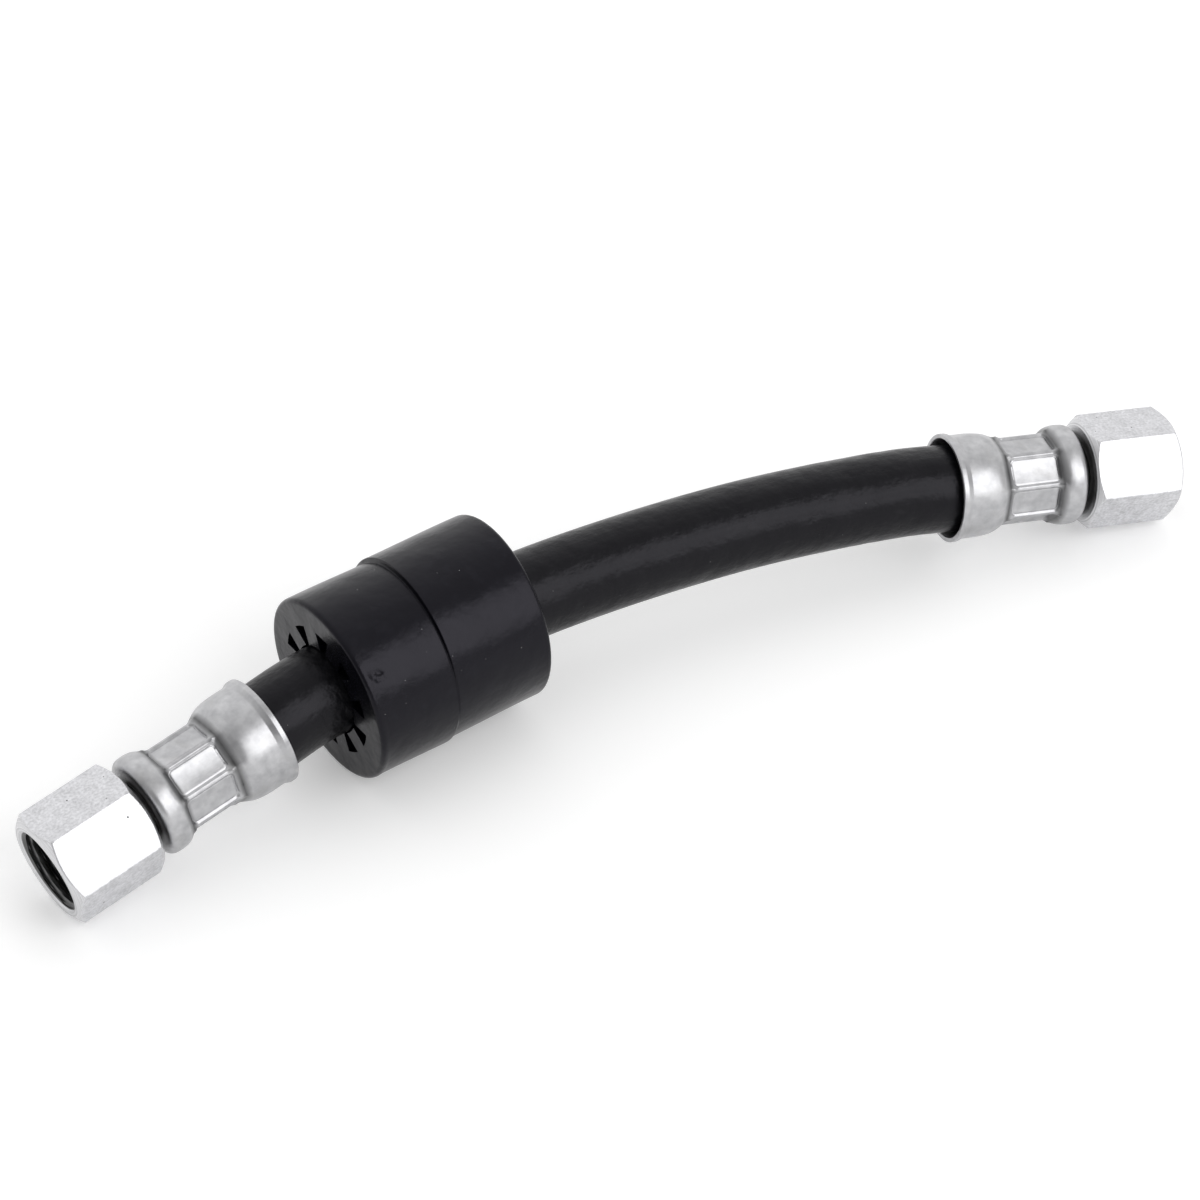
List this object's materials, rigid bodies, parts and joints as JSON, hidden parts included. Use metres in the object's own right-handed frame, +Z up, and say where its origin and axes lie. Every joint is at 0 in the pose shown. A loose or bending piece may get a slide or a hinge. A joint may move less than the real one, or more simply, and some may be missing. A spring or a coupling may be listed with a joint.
{
  "type": "fuel hose",
  "caption": "Short black rubber hose with a crimped metal ferrule and a hexagonal swivel nut at each end, and a thick rubber grommet around it near one end.",
  "frame": {"origin": "under the middle of the part's box, on the surface that the hose lies on", "axes": "+Z up; +X along the hose from the nut near the grommet to the other nut; the hose bows towards +Y"},
  "size_m": [0.2082, 0.0391, 0.0321],
  "materials": {
    "hose_rubber": "black, satin, slightly uneven",
    "grommet_rubber": "black, matte, moulded",
    "ferrule_zinc": "bright zinc plate, satin",
    "nipple_zinc": "bright zinc plate, satin, turned",
    "nut_zinc": "bright zinc plate, fine grained"
  },
  "bodies": {
    "hose_assembly": {"hose": "hose_rubber", "grommet": "grommet_rubber", "ferrule_a": "ferrule_zinc", "ferrule_b": "ferrule_zinc", "nipple_a": "nipple_zinc", "nipple_b": "nipple_zinc"},
    "swivel_nut_a": {"nut_a": "nut_zinc"},
    "swivel_nut_b": {"nut_b": "nut_zinc"}
  },
  "joints": [
    {"name": "nut_a_swivel", "type": "hinge", "parent": "hose_assembly", "child": "swivel_nut_a", "pos_m": [-0.09448, -0.00861, 0.01002], "axis": [-0.9732, -0.1864, -0.1346], "continuous": true},
    {"name": "nut_b_swivel", "type": "hinge", "parent": "hose_assembly", "child": "swivel_nut_b", "pos_m": [0.09453, -0.00845, 0.00979], "axis": [0.9749, -0.2013, -0.0954], "continuous": true}
  ]
}
